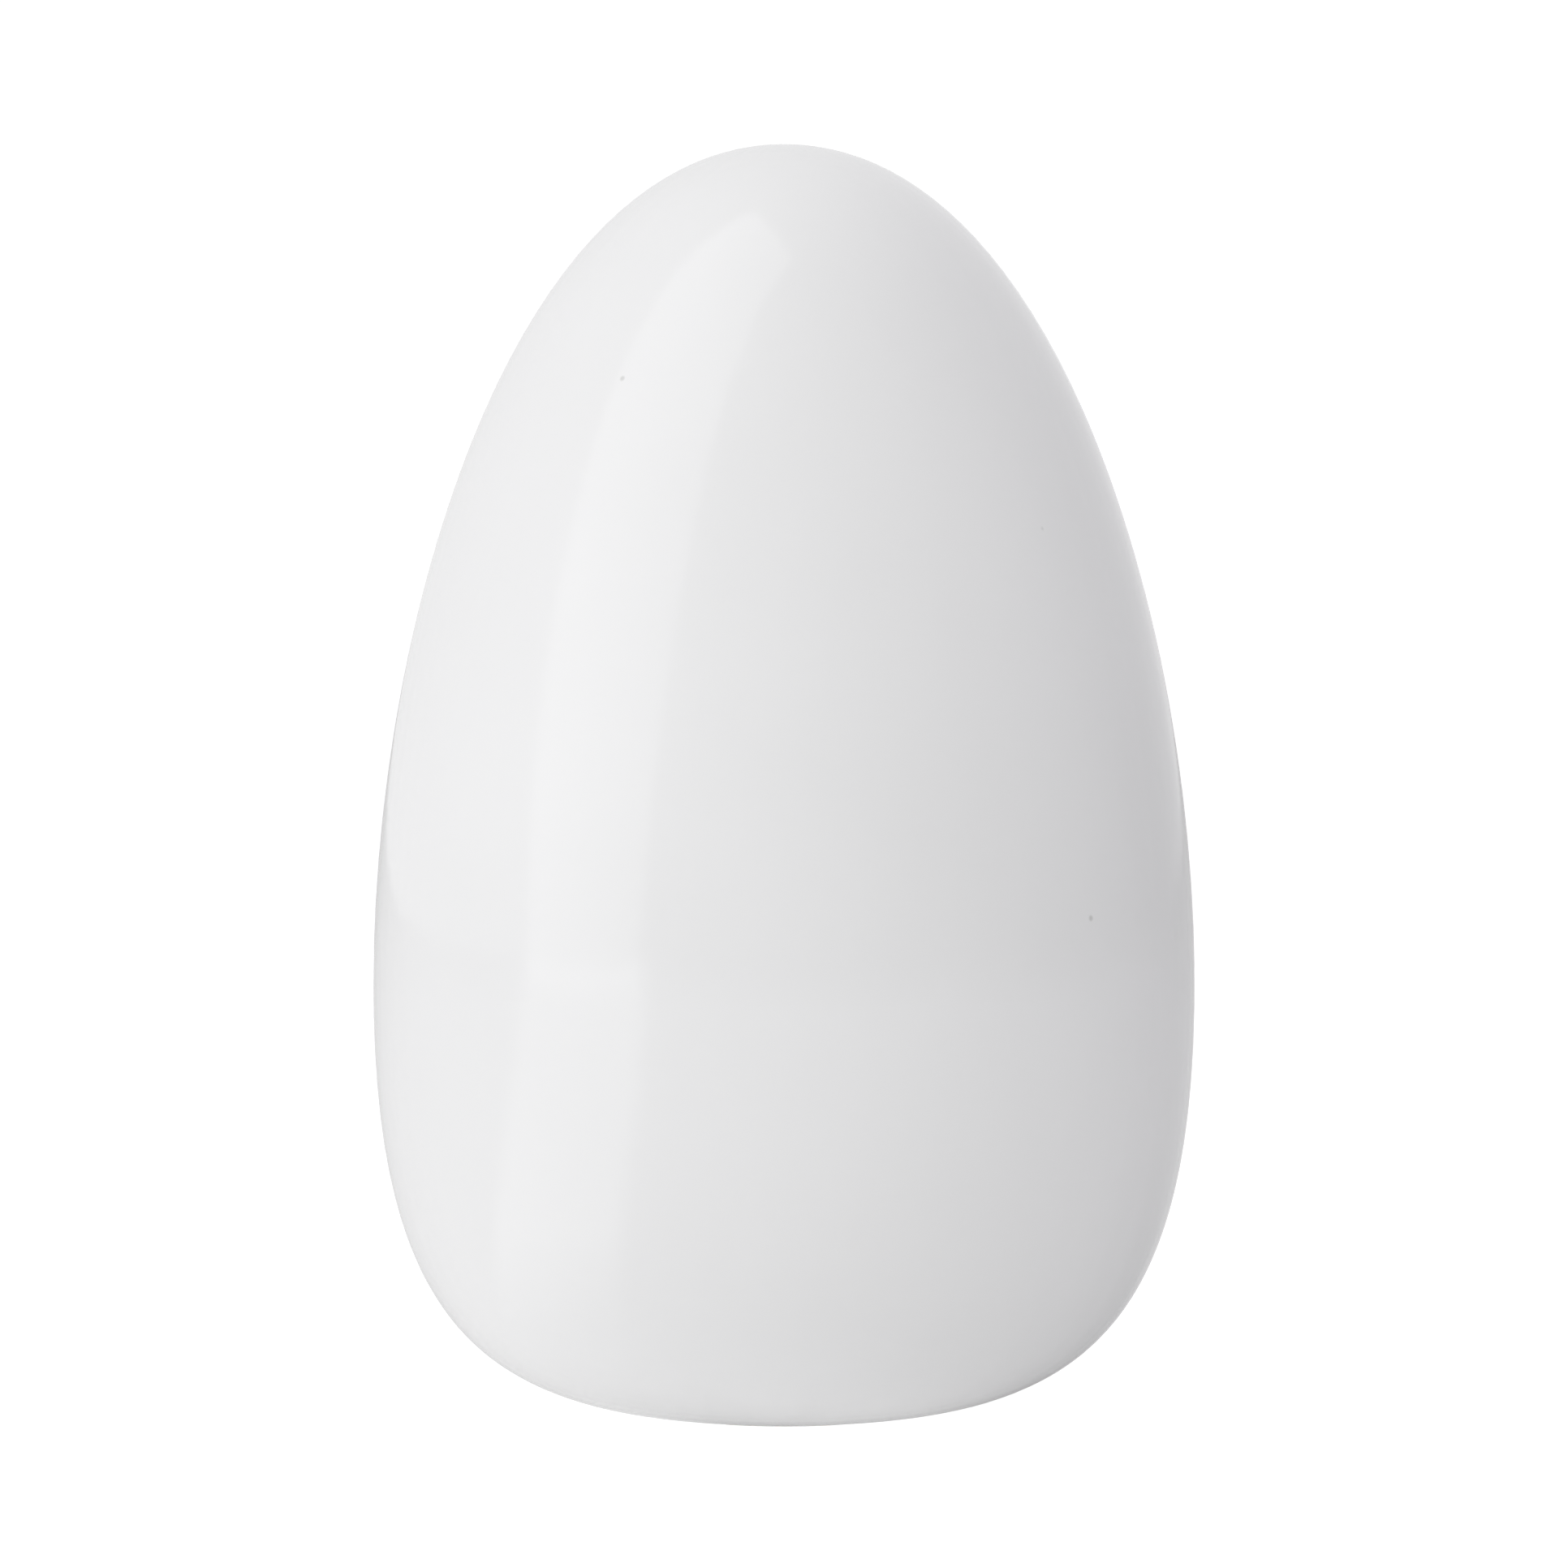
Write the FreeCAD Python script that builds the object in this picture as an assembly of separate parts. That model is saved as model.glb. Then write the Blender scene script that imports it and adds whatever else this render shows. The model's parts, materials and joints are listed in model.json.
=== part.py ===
"""Wind-up 60-minute kitchen timer in the shape of an egg.

The egg stands on its blunt end, with its axis on +Z and the origin at the middle of its underside. Its
casing is two halves that meet in the plane y = 0. The half towards -Y is plain. The half towards +Y has a
round well with the minute dial in it, and the movement hangs behind the floor of that well. All sizes are
in millimetres.

The dial and the movement are drawn face on: u to the right and v up as seen by someone who faces the dial,
from the dial's centre, and w out of the dial towards that person. face_on() turns such a shape into the
egg's frame.
"""
import FreeCAD, Part
import math
import os

Vector = FreeCAD.Vector

# --- how far shapes run past each other where they are joined, and what counts as the same place ---
OVERLAP = 0.5
NEAR = 0.01

# --- the egg ---
HEIGHT = 93.5
RADIUS = 0.32125 * HEIGHT
WAIST_Z = 0.3428 * HEIGHT
BOTTOM_BLUNTNESS = 0.669
BOTTOM_FULLNESS = 0.861
TOP_FULLNESS = 0.433
TOP_BLUNTNESS = 0.658
WALL = 2.0
LIP_WALL = 0.95
LIP_HEIGHT = 2.0
LIP_GAP = 0.05
PARTING_GAP = 0.12

# --- the foot and the ballast ---
FOOT_RADIUS = 6.0
FOOT_GAP = 0.03
FOOT_PROUD = 0.05
FOOT_THICKNESS = 1.2
FOOT_NECK_RADIUS = 3.0
FOOT_HEAD_RADIUS = 4.2
FOOT_HEAD_BOTTOM = 2.4
FOOT_HEAD_TOP = 3.4
BALLAST_INSET = 2.6
BALLAST_BOTTOM = 3.8
BALLAST_TOP = 11.5
BALLAST_GAP = 0.3
RIB_WIDTH = 2.0
RIB_HEIGHT = 4.0
RIB_REACH = 14.0
RIB_PLACES = (-12.0, 12.0)

# --- the dial and its well, with every w measured from the egg's axis ---
DIAL_Z = WAIST_Z
WELL_RADIUS = 21.0
WELL_WALL = 2.0
RIM_ROUNDING = 0.8
FLOOR_BACK = 17.0
FLOOR_FACE = 19.0
FLOOR_HOLE_RADIUS = 2.6
SOUND_HOLES = 10
SOUND_HOLE_RADIUS = 1.2
SOUND_RING_RADIUS = 13.0
DISC_RADIUS = 20.4
DISC_BACK = 19.6
DISC_CAVITY = 21.4
DISC_FACE = 23.0
DISC_EDGE_WALL = 2.4
DISC_EDGE_ROUNDING = 0.6
DISC_HUB_RADIUS = 5.0
HUB_BUSH_RADIUS = 2.5
KNURLS = 72
KNURL_RADIUS = 0.45
KNURL_OUTSET = 0.2
KNURL_END = 0.7
SWEEP_DEG = 330.0
STOP_RING_RADIUS = 10.0
STOP_DEG = 270.0
STOP_POST_RADIUS = 1.0
STOP_POST_GAP = 0.4
STOP_RIB_WIDTH = 1.6
STOP_RIB_LENGTH = 5.0
GRIP_HALF_LENGTH = 14.6
GRIP_HALF_WIDTH = 4.2
GRIP_WAIST = 2.7
GRIP_WAIST_RADIUS = 46.0
GRIP_DOME_RADIUS = 22.0
GRIP_ROUNDING = 0.9
GRIP_SOCKET_RADIUS = 1.7
GRIP_SOCKET_ROOF = 3.0
MARK_TIP = 22.6
MARK_TOP = 26.6
MARK_HALF_WIDTH = 1.7
MARK_DEPTH = 0.9

# --- the plates, pillars and screws ---
FRONT_PLATE = (14.8, 16.0)
REAR_PLATE = (3.2, 4.4)
PLATE_HALF_WIDTH = 18.0
PLATE_HALF_HEIGHT = 14.6
PLATE_CORNER = 2.5
SCREWED_PILLARS = [(15.0, 11.0), (15.0, -11.0), (-4.2, -12.9)]
PLAIN_PILLAR = (-15.5, 12.9)
PILLAR_RADIUS = 1.4
SPIGOT_RADIUS = 0.9
NUT_RADIUS = 1.8
NUT_THICKNESS = 1.0
SCREW_RADIUS = 0.8
SCREW_HEAD_RADIUS = 1.8
SCREW_HEAD_DEPTH = 0.9
SCREW_SLOT = (0.4, 0.4)
SCREW_CLEARANCE_RADIUS = 1.1
CASE_SCREW_TIP = 8.0
MOVEMENT_SCREW_TIP = 10.5
SCREW_HOLE_SPARE = 1.5
CASE_BOSSES = [(u, v) for u in (-8.1, 8.1) for v in (-17.4, 17.4)]
CASE_BOSS_RADIUS = 2.4

# --- the train: module, teeth of the wheel, teeth of the pinion it drives, distance of the pinion's arbor
# from the dial's axis ---
RUNNING_GAP = 0.04
END_PLAY = 0.15
MAIN_RADIUS = 1.5
MAIN_CORE_RADIUS = 2.2
MAIN_CORE_BACK = 11.0
MAIN_BACK_END = 1.2
MAIN_FRONT_REACH = 3.0
FLAT_DEPTH = 0.4
CLIP_GROOVE = (1.4, 1.7)
CLIP_GROOVE_RADIUS = 1.1
CLIP_RADIUS = 2.6
CLIP_MOUTH = 1.6
FIRST_STAGE = (0.45, 48, 8)
SECOND_STAGE = (0.35, 48, 8)
THIRD_STAGE = (0.30, 42, 8)
SECOND_DEG = 200.0
THIRD_RADIAL = 12.0
ESCAPE_RADIAL = 12.3
PALLET_RADIAL = 12.8
PALLET_DISTANCE = 5.8
PRESSURE_DEG = 25.0
ADDENDUM = 0.7
DEDENDUM = 1.0
BACKLASH = 0.14
FLANK_STEPS = 3
LEAF_OVERHANG = 0.3
GREAT_LEVEL = (9.2, 10.0)
SECOND_LEVEL = (8.0, 8.6)
THIRD_LEVEL = (6.8, 7.4)
ESCAPE_LEVEL = (5.6, 6.2)
RATCHET_LEVEL = (10.0, 10.8)
SPRING_LEVEL = (11.3, 14.3)
# each arbor: radius of its body, of its pivots and of its wheel's seat
SECOND_ARBOR = (0.8, 0.6, 1.0)
THIRD_ARBOR = (0.7, 0.5, 0.9)
ESCAPE_ARBOR = (0.6, 0.4, 0.75)
# the round holes through each wheel: number, radius, distance from the arbor, and the first one's angle
GREAT_HOLES = (5, 1.7, 6.6, 96.0)
SECOND_HOLES = (5, 1.9, 4.6, 0.0)
THIRD_HOLES = (5, 1.4, 3.5, 0.0)
# the saw teeth of the ratchet and escape wheels
TOOTH_LAND = 0.12
RATCHET_RADIUS = 4.2
RATCHET_TEETH = 16
RATCHET_DEPTH = 0.7
RATCHET_LEAN = 0.9
RATCHET_FIRST_DEG = 33.0
ESCAPE_RADIUS = 4.0
ESCAPE_TEETH = 15
ESCAPE_DEPTH = 1.0
ESCAPE_LEAN = 0.55

# --- the click, its rivet and its spring, as radius and angle round the main arbor ---
CLICK_RIVET_PLACE = (7.3, 60.0)
CLICK_RIVET_RADIUS = 0.7
CLICK_RIVET_HEAD = (1.1, 0.3)
CLICK_EYE_RADIUS = 1.2
CLICK_NOSE_PLACE = (4.65, 28.0)
CLICK_HALF_WIDTH = 0.4
CLICK_SPRING_PLACES = ((9.0, 95.0), (9.2, 82.0), (8.75, 66.0))
CLICK_SPRING_FOOT = 0.5
CLICK_SPRING_LEAF = 0.15

# --- the mainspring ---
SPRING_TURNS = 6.25
SPRING_STEPS_PER_TURN = 16
SPRING_THICKNESS = 0.3
SPRING_CORE_GAP = 0.1
SPRING_OUTER_RADIUS = 9.4
SPRING_POST_RADIUS = 0.6
SPRING_POST_SPIGOT = 0.4
SPRING_POST_DISTANCE = 10.2

# --- the pin-pallet escapement ---
PALLET_ARBOR = (0.6, 0.4)
PALLET_PIN_RADIUS = 0.3
PALLET_PIN_REACH = 0.8
PALLET_PIN_DEG = 55.0
PALLET_PIN_ENDS = 0.3
PALLET_HUB_RADIUS = 1.5
PALLET_ARM_RADIUS = 0.6
PALLET_KNEE_DISTANCE = 1.9
PALLET_KNEE_DEG = 78.0
PALLET_WHEEL_GAP = 0.42
PALLET_EXTRA = 0.1
BALANCE_LEVEL = (1.6, 2.6)
BALANCE_REACH = 4.6
BALANCE_DEG = -20.0
BALANCE_HALF_WIDTH = 0.6
BALANCE_END_RADIUS = 1.2
BALANCE_HUB_RADIUS = 1.4

# --- the bell and what rings it ---
BELL_SPHERE_RADIUS = 17.0
BELL_CENTRE_W = 4.5
BELL_RIM_W = -2.5
BELL_CROWN_W = -12.2
BELL_WALL = 0.8
BELL_HOLE_RADIUS = 1.1
BELL_BOSS_RADIUS = 4.0
BELL_WASHER_RADIUS = 3.1
BELL_WASHER_THICKNESS = 0.6
BELL_SCREW_RADIUS = 1.0
BELL_SCREW_HEAD = (2.2, 1.3)
BELL_SCREW_SLOT = (0.6, 0.6)
BELL_SCREW_REACH = 7.0
TRIP_LEVEL = (1.9, 2.7)
TRIP_RADIUS = 5.0
TRIP_NOTCH_DEG = (262.0, 284.0)
TRIP_NOTCH_RADIUS = 3.6
TRIP_PIVOT = (-9.0, -9.5)
TRIP_LEVER_END = (5.6, -8.3)
TRIP_LEVER_HALF_WIDTH = 0.7
TRIP_LEVER_EYE = 1.6
TRIP_FINGER = [(-1.6, -8.9), (0.4, -8.9), (-0.1, -5.2), (-1.1, -5.35)]
HAMMER_LEVEL = (0.6, 1.4)
HAMMER_PIVOT = (10.0, -9.0)
HAMMER_EYE = 1.7
HAMMER_HALF_WIDTH = 0.7
HAMMER_HEAD = (11.13, 4.5)
HAMMER_HEAD_RADIUS = 1.6
HAMMER_HEAD_FACE = -3.6
HAMMER_HEAD_ROUNDING = 0.3
HAMMER_PAD_RADIUS = 1.3
HAMMER_SPRING_PLACES = ((14.6, -5.0), (15.4, -3.0), (11.7, -0.2))
HAMMER_SPRING_LEVEL = (1.0, 1.4)
HAMMER_SPRING_FOOT = 1.1
HAMMER_SPRING_LEAF = 0.12
SPRING_SCREW_SHOULDER = 1.0
SPRING_SCREW_HEAD = 0.6
POST_RADIUS = 0.8
POST_END = 0.3
POST_CLIP = (1.4, 0.5, 0.25)
POST_CLIP_GAP = 0.1
POST_CLIP_MOUTH = 0.6
RIVET_RADIUS = 0.6
RIVET_END = 0.3


# --- general shapes ---
def disc(radius, low, high, at=(0.0, 0.0)):
    return Part.makeCylinder(radius, high - low, Vector(at[0], at[1], low))


def ring(outer, inner, low, high, at=(0.0, 0.0)):
    return disc(outer, low, high, at).cut(disc(inner, low, high, at))


def cone(radius_low, radius_high, low, high, at):
    return Part.makeCone(radius_low, radius_high, high - low, Vector(at[0], at[1], low))


def box(u_range, v_range, w_range):
    sides = [high - low for low, high in (u_range, v_range, w_range)]
    return Part.makeBox(*sides, Vector(u_range[0], v_range[0], w_range[0]))


def prism(points, low, high):
    corners = [Vector(u, v, low) for u, v in points]
    outline = Part.makePolygon(corners + corners[:1])
    return Part.Face(outline).extrude(Vector(0, 0, high - low))


def polar(radius, degrees, centre=(0.0, 0.0)):
    angle = math.radians(degrees)
    return (centre[0] + radius * math.cos(angle), centre[1] + radius * math.sin(angle))


def direction(start, end):
    return math.degrees(math.atan2(end[1] - start[1], end[0] - start[0]))


def link(start, end, radius, low, high):
    """A flat bar with round ends, from one centre to the other."""
    heading = direction(start, end)
    left = [polar(radius, heading + 90, p) for p in (start, end)]
    right = [polar(radius, heading - 90, p) for p in (start, end)]
    noses = [polar(radius, heading + 180, start), polar(radius, heading, end)]
    a, b = [Vector(p[0], p[1], low) for p in left]
    d, c = [Vector(p[0], p[1], low) for p in right]
    back, front = [Vector(p[0], p[1], low) for p in noses]
    edges = [
        Part.LineSegment(a, b).toShape(),
        Part.Arc(b, front, c).toShape(),
        Part.LineSegment(c, d).toShape(),
        Part.Arc(d, back, a).toShape(),
    ]
    return Part.Face(Part.Wire(edges)).extrude(Vector(0, 0, high - low))


def face_on(shape):
    """From the dial's u, v, w to the egg's x, y, z."""
    turned = shape.copy()
    turned.Placement = FreeCAD.Placement(
        Vector(0, 0, DIAL_Z), FreeCAD.Rotation(Vector(0, 1, 1), 180)
    )
    return turned


def export(name, shape):
    if not shape.isValid():
        raise ValueError(name + " is not a valid shape")
    shape.exportStep("parts/" + name + ".step")


def export_face_on(name, shape):
    export(name, face_on(shape))


def group(shapes):
    return Part.makeCompound(shapes)


def joined(shapes):
    return shapes[0].fuse(shapes[1:]).removeSplitter()


# --- the egg ---
def egg(inset=0.0, start_deg=0.0, sweep_deg=360.0):
    """The solid egg, or the egg that lies inset below its surface, or a wedge of either."""
    radius = RADIUS - inset
    low, high = inset, HEIGHT - inset
    lower = Part.BezierCurve()
    lower.setPoles([
        Vector(0, 0, low),
        Vector(BOTTOM_BLUNTNESS * radius, 0, low),
        Vector(radius, 0, WAIST_Z - BOTTOM_FULLNESS * (WAIST_Z - low)),
        Vector(radius, 0, WAIST_Z),
    ])
    upper = Part.BezierCurve()
    upper.setPoles([
        Vector(radius, 0, WAIST_Z),
        Vector(radius, 0, WAIST_Z + TOP_FULLNESS * (high - WAIST_Z)),
        Vector(TOP_BLUNTNESS * radius, 0, high),
        Vector(0, 0, high),
    ])
    axis = Part.LineSegment(Vector(0, 0, high), Vector(0, 0, low))
    outline = Part.Wire([lower.toShape(), upper.toShape(), axis.toShape()])
    outline.rotate(Vector(0, 0, 0), Vector(0, 0, 1), start_deg)
    return Part.Face(outline).revolve(Vector(0, 0, 0), Vector(0, 0, 1), sweep_deg)


def whole_egg(inset, towards_dial):
    """A whole egg whose joining line lies away from the half it is used on."""
    return egg(inset, -90.0 if towards_dial else 90.0)


def plain_half():
    return egg(0.0, 180.0, 180.0).cut(whole_egg(WALL, False))


def slab(low_y, high_y):
    return Part.makeBox(2 * RADIUS + 2, high_y - low_y, HEIGHT, Vector(-RADIUS - 1, low_y, 0))


def lip_space():
    """What the back shell leaves free inside its edge for the dial shell's lip."""
    return whole_egg(WALL - LIP_WALL - LIP_GAP, False).common(slab(-LIP_HEIGHT - LIP_GAP, 1.0))


def lip():
    """The dial shell's lip, which starts behind its own edge."""
    band = whole_egg(WALL - LIP_WALL, False).cut(whole_egg(WALL + 2 * LIP_GAP, False))
    return band.common(slab(-LIP_HEIGHT, 1.0))


def foot_space():
    """The recess in the underside, and the hole that the foot's neck is pushed through."""
    recess = Part.makeCylinder(FOOT_RADIUS + FOOT_GAP, FOOT_THICKNESS)
    neck = Part.makeCylinder(FOOT_NECK_RADIUS + FOOT_GAP, FOOT_HEAD_TOP)
    return joined([recess, neck])


def ballast_ribs(towards_dial):
    """Two ribs above the ballast that hold it down, clear of the dial's well."""
    low_y = RIB_REACH if towards_dial else -RADIUS
    ribs = []
    for x in RIB_PLACES:
        corner = Vector(x - RIB_WIDTH / 2, low_y, BALLAST_TOP + BALLAST_GAP)
        rib = Part.makeBox(RIB_WIDTH, RADIUS - RIB_REACH, RIB_HEIGHT, corner)
        ribs.append(rib.common(whole_egg(WALL / 2, towards_dial)))
    if towards_dial:
        return [rib.cut(face_on(disc(WELL_RADIUS + WELL_WALL / 2, FLOOR_BACK, RADIUS))) for rib in ribs]
    return ribs


def back_shell():
    shell = plain_half().cut(lip_space()).cut(slab(-PARTING_GAP, 1.0))
    inner = whole_egg(WALL / 2, False)
    bosses = [
        face_on(disc(CASE_BOSS_RADIUS, -RADIUS, FLOOR_BACK, at)).common(inner)
        for at in CASE_BOSSES
    ]
    washer_back = BELL_CROWN_W - BELL_WASHER_THICKNESS
    bosses.append(face_on(disc(BELL_BOSS_RADIUS, -RADIUS, washer_back)).common(inner))
    shell = joined([shell] + bosses + ballast_ribs(False))
    for at in CASE_BOSSES:
        shell = shell.cut(face_on(disc(SCREW_RADIUS, CASE_SCREW_TIP - SCREW_HOLE_SPARE, FLOOR_BACK, at)))
    bell_hole_end = washer_back - BELL_SCREW_REACH - SCREW_HOLE_SPARE
    shell = shell.cut(face_on(disc(BELL_SCREW_RADIUS, bell_hole_end, washer_back)))
    return shell.cut(foot_space())


def dial_half():
    """Half the egg, hollow but for a cup behind the dial, with the well sunk into the cup."""
    cup = face_on(disc(WELL_RADIUS + WELL_WALL, FLOOR_BACK, RADIUS + 1))
    hollow = whole_egg(WALL, True).cut(cup)
    half = egg(0.0, 0.0, 180.0).cut(hollow).cut(face_on(disc(WELL_RADIUS, FLOOR_FACE, RADIUS + 2)))
    rim = [
        edge for edge in half.Edges
        if edge.BoundBox.YMin > FLOOR_FACE + 1 and edge.BoundBox.YMax < RADIUS - 1
    ]
    return half.makeFillet(RIM_ROUNDING, rim)


def mark_prism():
    corners = [(0.0, MARK_TIP), (MARK_HALF_WIDTH, MARK_TOP), (-MARK_HALF_WIDTH, MARK_TOP)]
    return face_on(prism(corners, FLOOR_FACE, RADIUS + 1))


def mark_pocket():
    return mark_prism().cut(whole_egg(MARK_DEPTH, True))


def index_mark():
    return mark_pocket().common(whole_egg(0.0, True))


def stop_post():
    at = polar(STOP_RING_RADIUS, STOP_DEG)
    return disc(STOP_POST_RADIUS, FLOOR_FACE - OVERLAP, DISC_CAVITY - STOP_POST_GAP, at)


def dial_shell():
    pads = [
        face_on(disc(CASE_BOSS_RADIUS, FRONT_PLATE[1], FLOOR_BACK + OVERLAP, at))
        for at in SCREWED_PILLARS
    ]
    shell = joined([dial_half(), lip(), face_on(stop_post())] + pads + ballast_ribs(True))
    holes = [disc(FLOOR_HOLE_RADIUS, FLOOR_BACK - 1, FLOOR_FACE + 1)]
    for i in range(SOUND_HOLES):
        at = polar(SOUND_RING_RADIUS, 360.0 * (i + 0.5) / SOUND_HOLES)
        holes.append(disc(SOUND_HOLE_RADIUS, FLOOR_BACK - 1, FLOOR_FACE + 1, at))
    for at in CASE_BOSSES + SCREWED_PILLARS:
        holes.append(disc(SCREW_CLEARANCE_RADIUS, FRONT_PLATE[1] - 1, FLOOR_FACE, at))
        holes.append(cone(SCREW_RADIUS, SCREW_HEAD_RADIUS, FLOOR_FACE - SCREW_HEAD_DEPTH, FLOOR_FACE, at))
    shell = shell.cut([face_on(hole) for hole in holes])
    return shell.cut(mark_pocket()).cut(foot_space())


def foot_pad():
    """A pad that follows the egg's underside, cut flat where it stands, on a headed neck that holds it."""
    sole = egg(0.0, 45.0)
    sole.translate(Vector(0, 0, -FOOT_PROUD))
    sole = sole.common(Part.makeCylinder(FOOT_RADIUS, FOOT_THICKNESS))
    neck = Part.makeCylinder(FOOT_NECK_RADIUS, FOOT_HEAD_TOP - OVERLAP, Vector(0, 0, OVERLAP))
    head_base = Vector(0, 0, FOOT_HEAD_BOTTOM)
    head = Part.makeCylinder(FOOT_HEAD_RADIUS, FOOT_HEAD_TOP - FOOT_HEAD_BOTTOM, head_base)
    return joined([sole, neck, head])


def ballast_weight():
    corner = Vector(-RADIUS, -RADIUS, BALLAST_BOTTOM)
    layer = Part.makeBox(2 * RADIUS, 2 * RADIUS, BALLAST_TOP - BALLAST_BOTTOM, corner)
    cup = face_on(disc(WELL_RADIUS + WELL_WALL + BALLAST_GAP, FLOOR_BACK - BALLAST_GAP, RADIUS + 1))
    return egg(BALLAST_INSET, 45.0).common(layer).cut(cup)


# --- screws and nuts ---
def countersunk_screw(at, tip):
    head = cone(SCREW_RADIUS, SCREW_HEAD_RADIUS, FLOOR_FACE - SCREW_HEAD_DEPTH, FLOOR_FACE, at)
    shank = disc(SCREW_RADIUS, tip, FLOOR_FACE - SCREW_HEAD_DEPTH, at)
    width, depth = SCREW_SLOT
    reach = SCREW_HEAD_RADIUS
    u, v = at
    slot = box((u - reach, u + reach), (v - width / 2, v + width / 2), (FLOOR_FACE - depth, FLOOR_FACE))
    return joined([head, shank]).cut(slot)


def hex_nut(at, low, high):
    corners = [polar(NUT_RADIUS, 60.0 * i, at) for i in range(6)]
    return prism(corners, low, high).cut(disc(SPIGOT_RADIUS, low, high, at))


# --- the dial ---
def dial_disc():
    body = disc(DISC_RADIUS, DISC_BACK, DISC_FACE)
    face_edge = [edge for edge in body.Edges if edge.BoundBox.ZMin > DISC_FACE - NEAR]
    body = body.makeFillet(DISC_EDGE_ROUNDING, face_edge)
    knurls = []
    for i in range(KNURLS):
        at = polar(DISC_RADIUS + KNURL_OUTSET, 360.0 * i / KNURLS)
        knurls.append(disc(KNURL_RADIUS, DISC_BACK, DISC_FACE - KNURL_END, at))
    hollow = ring(DISC_RADIUS - DISC_EDGE_WALL, DISC_HUB_RADIUS, DISC_BACK, DISC_CAVITY)
    body = body.cut(knurls + [hollow, disc(HUB_BUSH_RADIUS, DISC_BACK, DISC_FACE)])
    rest_deg = STOP_DEG - (360.0 - SWEEP_DEG) / 2
    inner = STOP_RING_RADIUS - STOP_RIB_LENGTH / 2
    across = (-STOP_RIB_WIDTH / 2, STOP_RIB_WIDTH / 2)
    rib = box((inner, inner + STOP_RIB_LENGTH), across, (DISC_BACK, DISC_CAVITY))
    rib.rotate(Vector(0, 0, 0), Vector(0, 0, 1), rest_deg)
    return joined([body, rib])


def dial_grip():
    """A bar with a waist, and a top curved along its length that just reaches the egg's radius."""
    low, high = DISC_FACE, RADIUS
    end = GRIP_HALF_LENGTH - GRIP_HALF_WIDTH
    bar = link((0, -end), (0, end), GRIP_HALF_WIDTH, low, high + OVERLAP)
    for side_deg in (0.0, 180.0):
        hollow = disc(GRIP_WAIST_RADIUS, low - 1, high + 1, (GRIP_WAIST + GRIP_WAIST_RADIUS, 0.0))
        hollow.rotate(Vector(0, 0, 0), Vector(0, 0, 1), side_deg)
        bar = bar.cut(hollow)
    dome_end = Vector(GRIP_HALF_WIDTH + OVERLAP, 0, high - GRIP_DOME_RADIUS)
    bar = bar.common(Part.makeCylinder(GRIP_DOME_RADIUS, 2 * dome_end.x, dome_end, Vector(-1, 0, 0)))
    upper_edges = [edge for edge in bar.Edges if edge.BoundBox.ZMin > low + NEAR]
    bar = bar.makeFillet(GRIP_ROUNDING, upper_edges)
    return bar.cut(disc(GRIP_SOCKET_RADIUS, low, high - GRIP_SOCKET_ROOF))


def hub_bush():
    body = disc(HUB_BUSH_RADIUS, DISC_BACK, DISC_FACE)
    return body.cut(main_arbor_end(DISC_BACK, DISC_FACE))


def main_arbor_end(low, high):
    """The end of the arbor that the dial sits on, with its flat."""
    end = disc(MAIN_RADIUS, low, high)
    flat = box((MAIN_RADIUS - FLAT_DEPTH, MAIN_RADIUS), (-MAIN_RADIUS, MAIN_RADIUS), (low, high))
    return end.cut(flat)


# --- the movement's frame ---
def plate(levels, holes):
    low, high = levels
    inner_u = PLATE_HALF_WIDTH - PLATE_CORNER
    inner_v = PLATE_HALF_HEIGHT - PLATE_CORNER
    blank = box((-PLATE_HALF_WIDTH, PLATE_HALF_WIDTH), (-PLATE_HALF_HEIGHT, PLATE_HALF_HEIGHT), (low, high))
    uprights = [edge for edge in blank.Edges if edge.BoundBox.ZLength > high - low - NEAR]
    blank = blank.makeFillet(PLATE_CORNER, uprights)
    return blank.cut([disc(radius, low, high, at) for at, radius in holes])


def pillars():
    shapes = []
    for at in SCREWED_PILLARS:
        body = disc(PILLAR_RADIUS, REAR_PLATE[1], FRONT_PLATE[0], at)
        spigot = disc(SPIGOT_RADIUS, REAR_PLATE[0] - NUT_THICKNESS, REAR_PLATE[1], at)
        hole = disc(SCREW_RADIUS, MOVEMENT_SCREW_TIP - SCREW_HOLE_SPARE, FRONT_PLATE[0], at)
        shapes.append(joined([body, spigot]).cut(hole))
    at = PLAIN_PILLAR
    body = disc(PILLAR_RADIUS, REAR_PLATE[1], FRONT_PLATE[0], at)
    ends = disc(SPIGOT_RADIUS, REAR_PLATE[0] - NUT_THICKNESS, FRONT_PLATE[1], at)
    shapes.append(joined([body, ends]))
    return group(shapes)


# --- gears ---
def involute_angle(radius, base):
    """How far the involute has unrolled round the axis, in radians, when it is at radius."""
    if radius <= base:
        return 0.0
    ratio = math.sqrt((radius / base) ** 2 - 1)
    return ratio - math.atan(ratio)


def toothed(module, teeth, low, high, at, tooth_deg):
    """A spur gear with involute teeth, one of them centred on tooth_deg."""
    pitch = module * teeth / 2
    tip = pitch + ADDENDUM * module
    root = pitch - DEDENDUM * module
    base = pitch * math.cos(math.radians(PRESSURE_DEG))
    half_tooth = (math.pi / 2 - BACKLASH) / teeth + involute_angle(pitch, base)
    start = max(root, base)
    flank = [start + (tip - start) * i / FLANK_STEPS for i in range(FLANK_STEPS + 1)]
    radii = ([root] if root < base else []) + flank
    points = []
    for tooth in range(teeth):
        centre = math.radians(tooth_deg) + 2 * math.pi * tooth / teeth
        for radius in radii:
            angle = math.degrees(centre - half_tooth + involute_angle(radius, base))
            points.append(polar(radius, angle, at))
        for radius in reversed(radii):
            angle = math.degrees(centre + half_tooth - involute_angle(radius, base))
            points.append(polar(radius, angle, at))
    return prism(points, low, high)


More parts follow.
